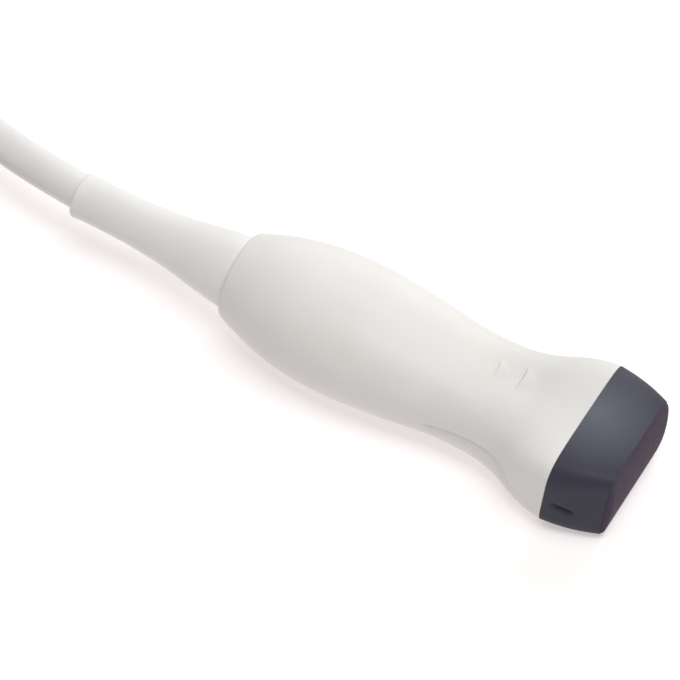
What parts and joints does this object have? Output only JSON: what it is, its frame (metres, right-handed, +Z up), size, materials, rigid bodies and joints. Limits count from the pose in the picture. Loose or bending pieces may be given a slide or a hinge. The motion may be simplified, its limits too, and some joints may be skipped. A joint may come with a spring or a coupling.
{
  "type": "ultrasound transducer probe",
  "caption": "Phased array ultrasound probe: waisted white handle, dark nosepiece with flat lens, tapered boot, and a cable coiled beside it that ends in a console connector.",
  "frame": {"origin": "on the surface that the probe lies on, under the middle of the probe and its boot", "axes": "+X along the probe towards the lens, -Y the side with the scooped mark, +Z up"},
  "size_m": [0.2728, 0.1169, 0.051],
  "materials": {
    "shell_plastic": "satin moulded, warm white",
    "nose_plastic": "fine satin, dark grey",
    "lens_rubber": "smooth, purplish dark grey",
    "seal_rubber": "matt",
    "boot_elastomer": "satin, white",
    "cable_jacket": "satin, white",
    "shield_foil": "foil",
    "spreader_metal": "machined",
    "matching_resin": "cast",
    "piezo_ceramic": "diced ceramic",
    "backing_resin": "filled resin",
    "flex_film": "polyimide film",
    "frame_resin": "moulded",
    "board_laminate": "solder resist",
    "socket_plastic": "moulded",
    "braid_copper": "tinned braid",
    "steel": "turned",
    "connector_plastic": "fine texture, light grey",
    "contact_plastic": "moulded",
    "contact_gold": "plated",
    "lever_plastic": "satin, grey",
    "tie_fabric": "hook and loop"
  },
  "bodies": {
    "probe": {"handle_shell_top": "shell_plastic", "handle_shell_bottom": "shell_plastic", "rf_shield": "shield_foil", "nosepiece": "nose_plastic", "nose_seal": "seal_rubber", "acoustic_lens": "lens_rubber", "matching_layer_outer": "matching_resin", "matching_layer_inner": "matching_resin", "piezo_elements": "piezo_ceramic", "signal_flex": "flex_film", "backing_block": "backing_resin", "heat_spreader": "spreader_metal", "array_frame": "frame_resin", "interconnect_board_upper": "board_laminate", "interconnect_board_lower": "board_laminate", "board_spacers": "frame_resin", "flex_sockets": "socket_plastic", "coax_sockets": "socket_plastic", "coax_core": "braid_copper", "coax_bundle_upper": "braid_copper", "coax_bundle_lower": "braid_copper", "crimp_ferrule": "steel", "anchor_plate": "steel", "strain_relief_boot": "boot_elastomer", "cable_lead": "cable_jacket", "cable_coil": "cable_jacket", "cable_tail": "cable_jacket", "coil_tie": "tie_fabric", "plug_base": "connector_plastic", "plug_cover": "connector_plastic", "contact_block": "contact_plastic", "contact_pads": "contact_gold", "plug_board": "board_laminate", "plug_shield": "shield_foil", "plug_header": "socket_plastic", "plug_wire_bundle": "braid_copper", "plug_cable_clamp": "spreader_metal", "plug_strain_relief": "boot_elastomer", "plug_screws": "steel", "shaft_bush": "steel"},
    "lock": {"lock_shaft": "steel", "lock_lever": "lever_plastic", "lever_screw": "steel", "shaft_clip": "steel"}
  },
  "joints": [
    {"name": "lock_turn", "type": "hinge", "parent": "probe", "child": "lock", "pos_m": [-0.1054, -0.0729, 0.0446], "axis": [0, 0, 1], "range_deg": [0, 90]}
  ]
}
